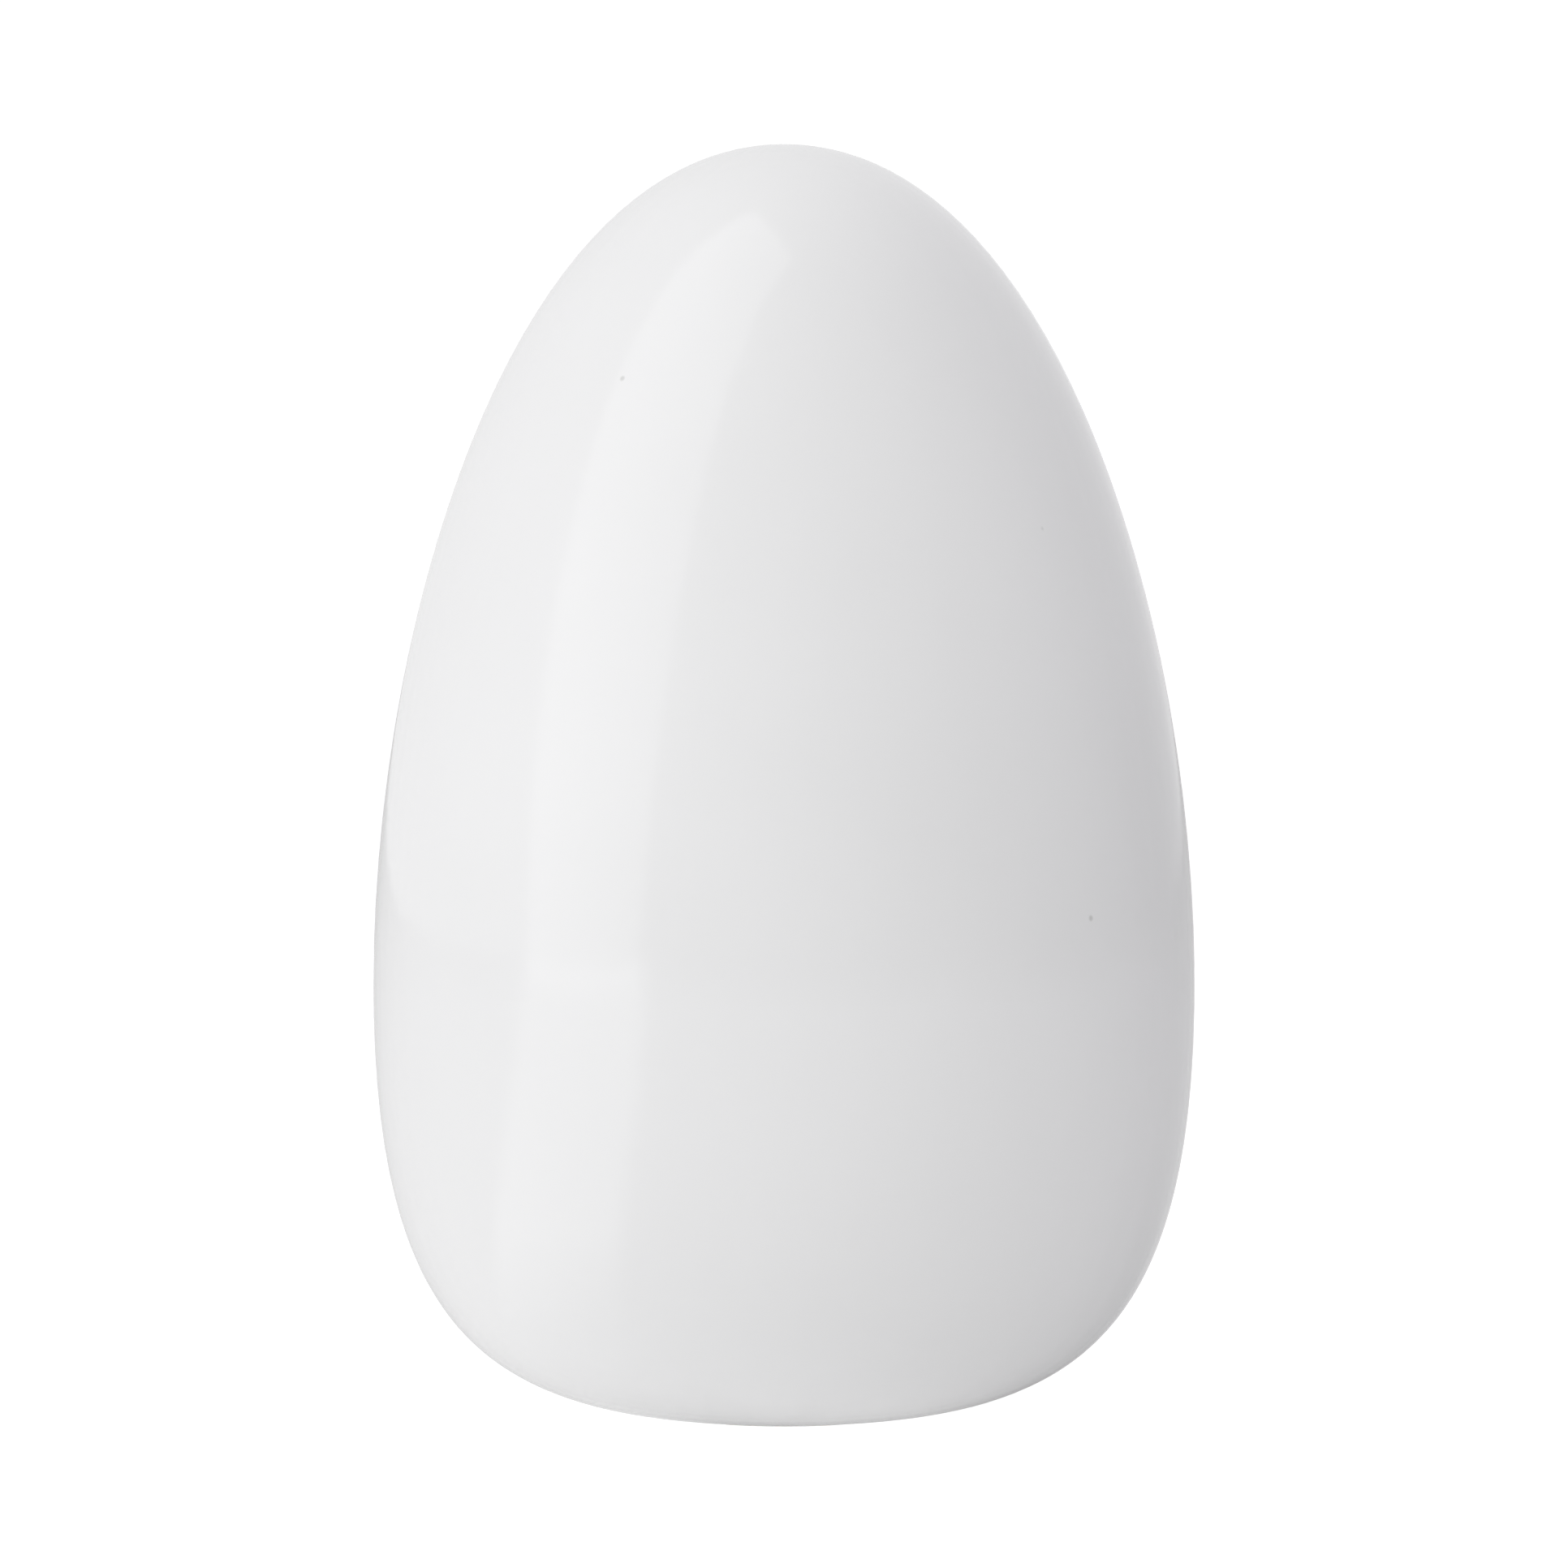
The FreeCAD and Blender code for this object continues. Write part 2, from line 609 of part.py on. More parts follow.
def saw_toothed(radius, depth, teeth, lean, levels, at, tooth_deg):
    """A ratchet or escape wheel: each tooth has one steep side, and leans by a share of its pitch."""
    points = []
    pitch = 360.0 / teeth
    for tooth in range(teeth):
        angle = tooth_deg + tooth * pitch
        points.append(polar(radius, angle, at))
        points.append(polar(radius, angle + TOOTH_LAND * pitch, at))
        points.append(polar(radius - depth, angle + lean * pitch, at))
    return prism(points, *levels)


def stage_distance(stage):
    module, wheel_teeth, pinion_teeth = stage
    return module * (wheel_teeth + pinion_teeth) / 2


def next_place(previous, distance, radial):
    """The place at radial from the dial's axis and at distance from the previous one, going clockwise."""
    before = math.hypot(*previous)
    turn = math.acos((before ** 2 + radial ** 2 - distance ** 2) / (2 * before * radial))
    return polar(radial, direction((0, 0), previous) - math.degrees(turn))


MAIN = (0.0, 0.0)
CLICK_RIVET = polar(*CLICK_RIVET_PLACE)
SECOND = polar(stage_distance(FIRST_STAGE), SECOND_DEG)
THIRD = next_place(SECOND, stage_distance(SECOND_STAGE), THIRD_RADIAL)
ESCAPE = next_place(THIRD, stage_distance(THIRD_STAGE), ESCAPE_RADIAL)
PALLET = next_place(ESCAPE, PALLET_DISTANCE, PALLET_RADIAL)


def lightened(wheel, levels, at, pattern):
    """The wheel with a ring of round holes through it."""
    count, radius, distance, first_deg = pattern
    places = [polar(distance, first_deg + 360.0 * i / count, at) for i in range(count)]
    return wheel.cut([disc(radius, *levels, place) for place in places])


def driving_wheel(stage, levels, at, next_at, bore):
    module, teeth, _ = stage
    low, high = levels
    wheel = toothed(module, teeth, low, high, at, direction(at, next_at))
    return wheel.cut(disc(bore, low, high, at))


def pinion_arbor(stage, levels, at, driver_at, radii, wheel_back):
    """A pinion cut from its arbor, which has a pivot in each plate and a seat for the wheel."""
    module, _, teeth = stage
    body_radius, pivot_radius, seat_radius = radii
    low, high = levels[0] - LEAF_OVERHANG, levels[1] + LEAF_OVERHANG
    gap_deg = direction(at, driver_at) + 180.0 / teeth
    leaves = toothed(module, teeth, low, high, at, gap_deg)
    body = disc(body_radius, REAR_PLATE[1] + END_PLAY, FRONT_PLATE[0] - END_PLAY, at)
    pivots = disc(pivot_radius, REAR_PLATE[0], FRONT_PLATE[1], at)
    return joined([pivots, body, disc(seat_radius, wheel_back, low, at), leaves])


def mainspring():
    """A flat strip wound in an even spiral from the arbor's core to the post."""
    inner_radius = MAIN_CORE_RADIUS + SPRING_THICKNESS / 2 + SPRING_CORE_GAP
    steps = int(SPRING_TURNS * SPRING_STEPS_PER_TURN)
    start_deg = STOP_DEG - 360.0 * SPRING_TURNS

    def edge(offset):
        points = []
        for i in range(steps + 1):
            share = i / steps
            radius = inner_radius + (SPRING_OUTER_RADIUS - inner_radius) * share + offset
            u, v = polar(radius, start_deg + 360.0 * SPRING_TURNS * share)
            points.append(Vector(u, v, SPRING_LEVEL[0]))
        curve = Part.BSplineCurve()
        curve.interpolate(points)
        return curve.toShape()

    inner, outer = edge(-SPRING_THICKNESS / 2), edge(SPRING_THICKNESS / 2)
    ends = [
        Part.LineSegment(inner.valueAt(p), outer.valueAt(q)).toShape()
        for p, q in ((inner.FirstParameter, outer.FirstParameter), (inner.LastParameter, outer.LastParameter))
    ]
    outline = Part.Wire(Part.sortEdges([inner, ends[1], outer, ends[0]])[0])
    return Part.Face(outline).extrude(Vector(0, 0, SPRING_LEVEL[1] - SPRING_LEVEL[0]))


def main_arbor():
    parts = [
        disc(MAIN_RADIUS, MAIN_BACK_END, DISC_BACK),
        disc(MAIN_CORE_RADIUS, MAIN_CORE_BACK, FRONT_PLATE[0] - END_PLAY),
        main_arbor_end(DISC_BACK, DISC_FACE + MAIN_FRONT_REACH),
    ]
    return joined(parts).cut(ring(MAIN_RADIUS, CLIP_GROOVE_RADIUS, *CLIP_GROOVE))


def click():
    """The pawl: a round eye on the rivet, and a nose in a gap of the ratchet wheel."""
    low, high = RATCHET_LEVEL
    arm = link(CLICK_RIVET, polar(*CLICK_NOSE_PLACE), CLICK_HALF_WIDTH, low, high)
    body = joined([arm, disc(CLICK_EYE_RADIUS, low, high, CLICK_RIVET)])
    return body.cut(disc(CLICK_RIVET_RADIUS, low, high, CLICK_RIVET))


def click_rivet():
    low, high = GREAT_LEVEL[0], RATCHET_LEVEL[1]
    head_radius, head_height = CLICK_RIVET_HEAD
    shank = disc(CLICK_RIVET_RADIUS, low, high, CLICK_RIVET)
    return joined([shank, disc(head_radius, high, high + head_height, CLICK_RIVET)])


def click_spring():
    """A bent strip on the great wheel that presses the click inwards."""
    low, high = RATCHET_LEVEL
    start, bend, tip = [polar(*place) for place in CLICK_SPRING_PLACES]
    foot = link(start, bend, CLICK_SPRING_FOOT, low, high)
    leaf = link(bend, tip, CLICK_SPRING_LEAF, low, high)
    return joined([foot, leaf])


def trip_disc():
    """The disc with a notch that the trip lever's finger drops into when the time is up."""
    low, high = TRIP_LEVEL
    first_deg, last_deg = TRIP_NOTCH_DEG
    mouth = [polar(TRIP_RADIUS + 1, first_deg), polar(TRIP_RADIUS + 1, last_deg)]
    bottom = polar(TRIP_NOTCH_RADIUS, (first_deg + last_deg) / 2)
    notch = prism(mouth + [bottom], low, high)
    return disc(TRIP_RADIUS, low, high).cut(notch).cut(disc(MAIN_RADIUS, low, high))


def arbor_clip():
    clip = ring(CLIP_RADIUS, CLIP_GROOVE_RADIUS, *CLIP_GROOVE)
    return clip.cut(box((-CLIP_MOUTH / 2, CLIP_MOUTH / 2), (0, CLIP_RADIUS), CLIP_GROOVE))


# --- the escapement ---
def pin_places():
    towards = direction(ESCAPE, PALLET)
    reach = ESCAPE_RADIUS + PALLET_PIN_REACH
    return [polar(reach, towards + side * PALLET_PIN_DEG, ESCAPE) for side in (-1, 1)]


def pallet_lever():
    """A hub with two bent arms, one for each pin, cut away round the escape wheel."""
    low, high = ESCAPE_LEVEL[0] - PALLET_EXTRA, ESCAPE_LEVEL[1] + PALLET_EXTRA
    towards = direction(ESCAPE, PALLET)
    shapes = [disc(PALLET_HUB_RADIUS, low, high, PALLET)]
    for side, pin in zip((-1, 1), pin_places()):
        knee = polar(PALLET_KNEE_DISTANCE, towards + side * PALLET_KNEE_DEG, PALLET)
        shapes.append(link(PALLET, knee, PALLET_ARM_RADIUS, low, high))
        shapes.append(link(knee, pin, PALLET_ARM_RADIUS, low, high))
    body = joined(shapes).cut(disc(ESCAPE_RADIUS + PALLET_WHEEL_GAP, low, high, ESCAPE))
    holes = [disc(PALLET_ARBOR[0], low, high, PALLET)]
    holes += [disc(PALLET_PIN_RADIUS, low, high, pin) for pin in pin_places()]
    return body.cut(holes)


def pallet_pins():
    low, high = ESCAPE_LEVEL[0] - PALLET_PIN_ENDS, ESCAPE_LEVEL[1] + PALLET_PIN_ENDS
    return group([disc(PALLET_PIN_RADIUS, low, high, pin) for pin in pin_places()])


def pallet_arbor():
    """It runs through the rear plate to carry the balance bar behind it."""
    body_radius, pivot_radius = PALLET_ARBOR
    shoulder = FRONT_PLATE[0] - END_PLAY
    body = disc(body_radius, BALANCE_LEVEL[0] - PALLET_PIN_ENDS, shoulder, PALLET)
    return joined([body, disc(pivot_radius, shoulder, FRONT_PLATE[1], PALLET)])


def balance_bar():
    low, high = BALANCE_LEVEL
    ends = [polar(BALANCE_REACH, BALANCE_DEG + turn, PALLET) for turn in (0.0, 180.0)]
    shapes = [link(ends[0], ends[1], BALANCE_HALF_WIDTH, low, high)]
    shapes.append(disc(BALANCE_HUB_RADIUS, low, high, PALLET))
    shapes += [disc(BALANCE_END_RADIUS, low, high, at) for at in ends]
    return joined(shapes).cut(disc(PALLET_ARBOR[0], low, high, PALLET))


# --- the bell work ---
def clip_level(levels):
    """From and to which w the clip below a lever at levels reaches."""
    thickness = POST_CLIP[2]
    high = levels[0] - POST_CLIP_GAP
    return high - thickness, high


def post(at, levels):
    """A shouldered post riveted in the rear plate, for a lever at levels, with a groove for its clip."""
    low, high = clip_level(levels)
    pin = disc(POST_RADIUS, low - POST_END, REAR_PLATE[0], at)
    body = joined([pin, disc(RIVET_RADIUS, *REAR_PLATE, at)])
    return body.cut(ring(POST_RADIUS, POST_CLIP[1], low, high, at))


def post_clip(at, levels):
    outer, inner, _ = POST_CLIP
    low, high = clip_level(levels)
    u, v = at
    mouth = box((u - POST_CLIP_MOUTH / 2, u + POST_CLIP_MOUTH / 2), (v, v + outer), (low, high))
    return ring(outer, inner, low, high, at).cut(mouth)


def trip_lever():
    """A long lever with a finger that rides on the trip disc."""
    low, high = TRIP_LEVEL
    body = joined([
        link(TRIP_PIVOT, TRIP_LEVER_END, TRIP_LEVER_HALF_WIDTH, low, high),
        disc(TRIP_LEVER_EYE, low, high, TRIP_PIVOT),
        prism(TRIP_FINGER, low, high),
    ])
    return body.cut(disc(POST_RADIUS + RUNNING_GAP, low, high, TRIP_PIVOT))


def hammer_arm():
    low, high = HAMMER_LEVEL
    body = joined([
        link(HAMMER_PIVOT, HAMMER_HEAD, HAMMER_HALF_WIDTH, low, high),
        disc(HAMMER_EYE, low, high, HAMMER_PIVOT),
        disc(HAMMER_PAD_RADIUS, low, high, HAMMER_HEAD),
    ])
    pivot_hole = disc(POST_RADIUS + RUNNING_GAP, low, high, HAMMER_PIVOT)
    return body.cut([pivot_hole, disc(RIVET_RADIUS, low, high, HAMMER_HEAD)])


def hammer_head():
    """A turned striker behind the arm, inside the bell, riveted through the arm."""
    low, high = HAMMER_LEVEL
    head = disc(HAMMER_HEAD_RADIUS, HAMMER_HEAD_FACE, low, HAMMER_HEAD)
    face_edge = [edge for edge in head.Edges if edge.BoundBox.ZMax < HAMMER_HEAD_FACE + NEAR]
    head = head.makeFillet(HAMMER_HEAD_ROUNDING, face_edge)
    return joined([head, disc(RIVET_RADIUS, low, high + RIVET_END, HAMMER_HEAD)])


def hammer_spring():
    """A leaf with its foot under a screw and its free end beside the hammer's arm."""
    low, high = HAMMER_SPRING_LEVEL
    screw, bend, tip = HAMMER_SPRING_PLACES
    foot = link(screw, bend, HAMMER_SPRING_FOOT, low, high).cut(disc(RIVET_RADIUS, low, high, screw))
    leaf = link(bend, tip, HAMMER_SPRING_LEAF, HAMMER_LEVEL[0], HAMMER_LEVEL[1])
    return joined([foot, leaf])


def hammer_spring_screw():
    """A screw whose shoulder behind the plate keeps the spring's foot under its head."""
    low, high = HAMMER_SPRING_LEVEL
    at = HAMMER_SPRING_PLACES[0]
    return joined([
        disc(HAMMER_SPRING_FOOT, low - SPRING_SCREW_HEAD, low, at),
        disc(RIVET_RADIUS, low, REAR_PLATE[1], at),
        disc(SPRING_SCREW_SHOULDER, high, REAR_PLATE[0], at),
    ])


def bell():
    centre = Vector(0, 0, BELL_CENTRE_W)
    outer = Part.makeSphere(BELL_SPHERE_RADIUS, centre)
    inner = Part.makeSphere(BELL_SPHERE_RADIUS - BELL_WALL, centre)
    keep = disc(BELL_SPHERE_RADIUS + 1, BELL_CROWN_W, BELL_RIM_W)
    return outer.common(keep).cut(inner).cut(disc(BELL_HOLE_RADIUS, BELL_CROWN_W - 1, 0))


def bell_washer():
    return ring(BELL_WASHER_RADIUS, BELL_HOLE_RADIUS, BELL_CROWN_W - BELL_WASHER_THICKNESS, BELL_CROWN_W)


def bell_screw():
    """Its head rests where the bell's domed inside is as wide as the head."""
    head_radius, head_height = BELL_SCREW_HEAD
    width, depth = BELL_SCREW_SLOT
    inner_radius = BELL_SPHERE_RADIUS - BELL_WALL
    seat = BELL_CENTRE_W - math.sqrt(inner_radius ** 2 - head_radius ** 2)
    tip = BELL_CROWN_W - BELL_WASHER_THICKNESS - BELL_SCREW_REACH
    top = seat + head_height
    body = joined([disc(BELL_SCREW_RADIUS, tip, seat), disc(head_radius, seat, top)])
    slot = box((-head_radius, head_radius), (-width / 2, width / 2), (top - depth, top))
    return body.cut(slot)


# --- everything together ---
def plate_holes(front):
    pillar_hole = SCREW_RADIUS if front else SPIGOT_RADIUS
    holes = [(at, pillar_hole) for at in SCREWED_PILLARS]
    holes.append((PLAIN_PILLAR, SPIGOT_RADIUS))
    holes.append((MAIN, MAIN_RADIUS + RUNNING_GAP))
    for at, radii in ((SECOND, SECOND_ARBOR), (THIRD, THIRD_ARBOR), (ESCAPE, ESCAPE_ARBOR)):
        holes.append((at, radii[1] + RUNNING_GAP))
    holes.append((PALLET, PALLET_ARBOR[1 if front else 0] + RUNNING_GAP))
    if front:
        holes.append((polar(SPRING_POST_DISTANCE, STOP_DEG), SPRING_POST_SPIGOT))
    else:
        holes += [(at, RIVET_RADIUS) for at in (TRIP_PIVOT, HAMMER_PIVOT, HAMMER_SPRING_PLACES[0])]
    return holes


def spring_post():
    at = polar(SPRING_POST_DISTANCE, STOP_DEG)
    post_back = SPRING_LEVEL[0] - END_PLAY
    body = disc(SPRING_POST_RADIUS, post_back, FRONT_PLATE[0], at)
    return joined([body, disc(SPRING_POST_SPIGOT, *FRONT_PLATE, at)])


def case_pieces():
    export("back_shell", back_shell())
    export("dial_shell", dial_shell())
    export("index_mark", index_mark())
    export("foot_pad", foot_pad())
    export("ballast_weight", ballast_weight())
    case_screws = [countersunk_screw(at, CASE_SCREW_TIP) for at in CASE_BOSSES]
    export_face_on("case_screws", group(case_screws))
    movement_screws = [countersunk_screw(at, MOVEMENT_SCREW_TIP) for at in SCREWED_PILLARS]
    export_face_on("movement_screws", group(movement_screws))


def dial_pieces():
    export_face_on("dial_disc", dial_disc())
    export_face_on("dial_grip", dial_grip())
    export_face_on("hub_bush", hub_bush())


def frame_pieces():
    export_face_on("front_plate", plate(FRONT_PLATE, plate_holes(True)))
    export_face_on("rear_plate", plate(REAR_PLATE, plate_holes(False)))
    export_face_on("plate_pillars", pillars())
    nut_places = SCREWED_PILLARS + [PLAIN_PILLAR]
    nuts = [hex_nut(at, REAR_PLATE[0] - NUT_THICKNESS, REAR_PLATE[0]) for at in nut_places]
    export_face_on("pillar_nuts", group(nuts))
    export_face_on("spring_post", spring_post())


def main_arbor_pieces():
    export_face_on("mainspring", mainspring())
    export_face_on("main_arbor", main_arbor())
    ratchet = saw_toothed(
        RATCHET_RADIUS, RATCHET_DEPTH, RATCHET_TEETH, RATCHET_LEAN, RATCHET_LEVEL, MAIN, RATCHET_FIRST_DEG
    )
    export_face_on("ratchet_wheel", ratchet.cut(disc(MAIN_RADIUS, *RATCHET_LEVEL)))
    great = driving_wheel(FIRST_STAGE, GREAT_LEVEL, MAIN, SECOND, MAIN_RADIUS)
    great = lightened(great, GREAT_LEVEL, MAIN, GREAT_HOLES)
    export_face_on("great_wheel", great.cut(disc(CLICK_RIVET_RADIUS, *GREAT_LEVEL, CLICK_RIVET)))
    export_face_on("click", click())
    export_face_on("click_rivet", click_rivet())
    export_face_on("click_spring", click_spring())
    export_face_on("trip_disc", trip_disc())
    export_face_on("arbor_clip", arbor_clip())


def train_pieces():
    arbor = pinion_arbor(FIRST_STAGE, GREAT_LEVEL, SECOND, MAIN, SECOND_ARBOR, SECOND_LEVEL[0])
    export_face_on("second_pinion", arbor)
    wheel = driving_wheel(SECOND_STAGE, SECOND_LEVEL, SECOND, THIRD, SECOND_ARBOR[2])
    export_face_on("second_wheel", lightened(wheel, SECOND_LEVEL, SECOND, SECOND_HOLES))
    arbor = pinion_arbor(SECOND_STAGE, SECOND_LEVEL, THIRD, SECOND, THIRD_ARBOR, THIRD_LEVEL[0])
    export_face_on("third_pinion", arbor)
    wheel = driving_wheel(THIRD_STAGE, THIRD_LEVEL, THIRD, ESCAPE, THIRD_ARBOR[2])
    export_face_on("third_wheel", lightened(wheel, THIRD_LEVEL, THIRD, THIRD_HOLES))
    arbor = pinion_arbor(THIRD_STAGE, THIRD_LEVEL, ESCAPE, THIRD, ESCAPE_ARBOR, ESCAPE_LEVEL[0])
    export_face_on("escape_pinion", arbor)
    wheel = saw_toothed(ESCAPE_RADIUS, ESCAPE_DEPTH, ESCAPE_TEETH, ESCAPE_LEAN, ESCAPE_LEVEL, ESCAPE, 0.0)
    export_face_on("escape_wheel", wheel.cut(disc(ESCAPE_ARBOR[2], *ESCAPE_LEVEL, ESCAPE)))


def escapement_pieces():
    export_face_on("pallet_arbor", pallet_arbor())
    export_face_on("pallet_lever", pallet_lever())
    export_face_on("pallet_pins", pallet_pins())
    export_face_on("balance_bar", balance_bar())


def bell_pieces():
    export_face_on("trip_lever", trip_lever())
    export_face_on("trip_pivot", post(TRIP_PIVOT, TRIP_LEVEL))
    export_face_on("hammer_pivot", post(HAMMER_PIVOT, HAMMER_LEVEL))
    clips = [post_clip(TRIP_PIVOT, TRIP_LEVEL), post_clip(HAMMER_PIVOT, HAMMER_LEVEL)]
    export_face_on("pivot_clips", group(clips))
    export_face_on("hammer_arm", hammer_arm())
    export_face_on("hammer_head", hammer_head())
    export_face_on("hammer_spring", hammer_spring())
    export_face_on("hammer_spring_screw", hammer_spring_screw())
    export_face_on("bell", bell())
    export_face_on("bell_washer", bell_washer())
    export_face_on("bell_screw", bell_screw())


os.makedirs("parts", exist_ok=True)
case_pieces()
dial_pieces()
frame_pieces()
main_arbor_pieces()
train_pieces()
escapement_pieces()
bell_pieces()
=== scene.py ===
import json
import math

import bpy
from mathutils import Matrix, Vector


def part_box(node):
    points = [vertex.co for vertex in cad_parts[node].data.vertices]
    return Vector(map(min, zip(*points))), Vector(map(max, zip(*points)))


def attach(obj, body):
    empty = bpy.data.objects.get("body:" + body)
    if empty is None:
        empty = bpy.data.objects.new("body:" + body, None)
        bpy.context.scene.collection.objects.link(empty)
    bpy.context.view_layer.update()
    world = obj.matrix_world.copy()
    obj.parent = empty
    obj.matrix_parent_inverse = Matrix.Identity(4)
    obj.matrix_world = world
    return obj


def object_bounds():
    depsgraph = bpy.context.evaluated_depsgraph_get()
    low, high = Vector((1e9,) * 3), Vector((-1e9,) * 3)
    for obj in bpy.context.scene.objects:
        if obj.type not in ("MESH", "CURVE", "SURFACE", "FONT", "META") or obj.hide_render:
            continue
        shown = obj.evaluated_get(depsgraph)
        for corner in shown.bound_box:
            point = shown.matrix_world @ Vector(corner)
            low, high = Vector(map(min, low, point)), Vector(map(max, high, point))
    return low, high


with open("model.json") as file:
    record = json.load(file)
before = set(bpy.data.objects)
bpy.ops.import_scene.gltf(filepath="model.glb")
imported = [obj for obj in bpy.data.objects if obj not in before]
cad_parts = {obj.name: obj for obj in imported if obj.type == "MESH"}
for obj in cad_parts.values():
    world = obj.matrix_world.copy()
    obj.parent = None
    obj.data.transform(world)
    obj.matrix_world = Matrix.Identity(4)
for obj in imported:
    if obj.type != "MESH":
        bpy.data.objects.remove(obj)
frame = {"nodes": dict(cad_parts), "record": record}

cad_box = [list(corner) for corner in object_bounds()]
lowest, highest = Vector(cad_box[0]), Vector(cad_box[1])
egg_height = highest.z - lowest.z
egg_middle = (lowest + highest) / 2

# The dial faces +Y: its axis, its printed face and its rim come from the CAD disc.
disc_low, disc_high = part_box("dial_disc")
dial_z = (disc_low.z + disc_high.z) / 2
dial_face_y = disc_high.y
dial_radius = (disc_high.z - disc_low.z) / 2


# --- materials ---
class Nodes:
    """A material's node tree, with short names for what the materials below need."""

    def __init__(self, name):
        self.material = bpy.data.materials.new(name)
        self.material.use_nodes = True
        self.tree = self.material.node_tree
        self.shader = next(n for n in self.tree.nodes if n.type == "BSDF_PRINCIPLED")
        coordinates = self.tree.nodes.new("ShaderNodeTexCoord")
        self.place = coordinates.outputs["Object"]

    def set(self, **values):
        """Constants on the shader's own sockets, whose names have _ for each space."""
        for name, value in values.items():
            self.shader.inputs[name.replace("_", " ")].default_value = value

    def link(self, output, target):
        self.tree.links.new(output, target)

    def stretched(self, scale):
        mapping = self.tree.nodes.new("ShaderNodeMapping")
        mapping.inputs["Scale"].default_value = scale
        self.link(self.place, mapping.inputs["Vector"])
        return mapping.outputs["Vector"]

    def noise(self, size_mm, detail=3.0, roughness=0.5, place=None):
        node = self.tree.nodes.new("ShaderNodeTexNoise")
        node.inputs["Scale"].default_value = 1000.0 / size_mm
        node.inputs["Detail"].default_value = detail
        node.inputs["Roughness"].default_value = roughness
        self.link(place or self.place, node.inputs["Vector"])
        return node.outputs["Fac"]

    def cells(self, size_mm):
        """How far a place is from the nearest of many scattered points."""
        node = self.tree.nodes.new("ShaderNodeTexVoronoi")
        node.inputs["Scale"].default_value = 1000.0 / size_mm
        self.link(self.place, node.inputs["Vector"])
        return node.outputs["Distance"]

    def ramp(self, value, stops):
        """A colour for value, from stops of a position and a colour each."""
        node = self.tree.nodes.new("ShaderNodeValToRGB")
        elements = node.color_ramp.elements
        while len(elements) < len(stops):
            elements.new(0.5)
        for element, (position, colour) in zip(elements, stops):
            element.position = position
            element.color = (*colour, 1.0)
        self.link(value, node.inputs["Fac"])
        return node.outputs["Color"]

    def spread(self, value, low, high, start=0.0, end=1.0, curve="LINEAR"):
        """value, from start to end, as a number from low to high."""
        node = self.tree.nodes.new("ShaderNodeMapRange")
        node.interpolation_type = curve
        node.inputs["From Min"].default_value = start
        node.inputs["From Max"].default_value = end
        node.inputs["To Min"].default_value = low
        node.inputs["To Max"].default_value = high
        self.link(value, node.inputs["Value"])
        return node.outputs["Result"]

    def gloss(self, noise, smoothest, roughest):
        """A roughness that wanders with a noise, which keeps mostly between 0.3 and 0.7."""
        return self.spread(noise, smoothest, roughest, 0.3, 0.7)

    def distance(self):
        """How far a place is from the origin."""
        node = self.tree.nodes.new("ShaderNodeVectorMath")
        node.operation = "LENGTH"
        self.link(self.place, node.inputs[0])
        return node.outputs["Value"]

    def alignment(self, direction):
        """The cosine of the angle between a direction and the way from the origin to a place."""
        unit = self.tree.nodes.new("ShaderNodeVectorMath")
        unit.operation = "NORMALIZE"
        self.link(self.place, unit.inputs[0])
        cosine = self.tree.nodes.new("ShaderNodeVectorMath")
        cosine.operation = "DOT_PRODUCT"
        cosine.inputs[1].default_value = direction
        self.link(unit.outputs["Vector"], cosine.inputs[0])
        return cosine.outputs["Value"]

    def blend(self, share, one, other):
        """one where share is 0, other where it is 1. Each may be a number or a node's output."""
        node = self.tree.nodes.new("ShaderNodeMix")
        self.link(share, node.inputs["Factor"])
        for value, name in ((one, "A"), (other, "B")):
            if isinstance(value, float):
                node.inputs[name].default_value = value
            else:
                self.link(value, node.inputs[name])
        return node.outputs["Result"]

    def multiply(self, one, other):
        node = self.tree.nodes.new("ShaderNodeMix")
        node.data_type = "RGBA"
        node.blend_type = "MULTIPLY"
        node.inputs["Factor"].default_value = 1.0
        self.link(one, node.inputs["A"])
        self.link(other, node.inputs["B"])
        return node.outputs["Result"]

    def bump(self, height, depth_mm, strength):
        node = self.tree.nodes.new("ShaderNodeBump")
        node.inputs["Distance"].default_value = depth_mm / 1000.0
        node.inputs["Strength"].default_value = strength
        self.link(height, node.inputs["Height"])
        return node.outputs["Normal"]

    def finish(self, colour, roughness, normal):
        """Links the three outputs to the shader and returns the material."""
        for output, name in ((colour, "Base Color"), (roughness, "Roughness"), (normal, "Normal")):
            self.link(output, self.shader.inputs[name])
        return self.material


def grey(level):
    """A white or grey of the mouldings, a trace towards blue."""
    return (level, level, level * 1.004)


def glossy_white(name):
    """Polished white moulding: faint flow variation, a soft ripple and a few dust specks."""
    n = Nodes(name)
    n.set(IOR=1.5, Coat_Weight=0.12, Coat_Roughness=0.08)
    clouds = n.ramp(n.noise(26, detail=2), [(0.35, grey(0.764)), (0.65, grey(0.778))])
    speck, speck_edge, clean = (0.74, 0.74, 0.73), (0.80, 0.80, 0.79), (1, 1, 1)
    specks = n.ramp(n.cells(9.0), [(0.0, speck), (0.016, speck_edge), (0.03, clean)])
    ripple = n.bump(n.noise(2.6, detail=2), 0.02, 0.10)
    return n.finish(n.multiply(clouds, specks), n.gloss(n.noise(7), 0.06, 0.10), ripple)


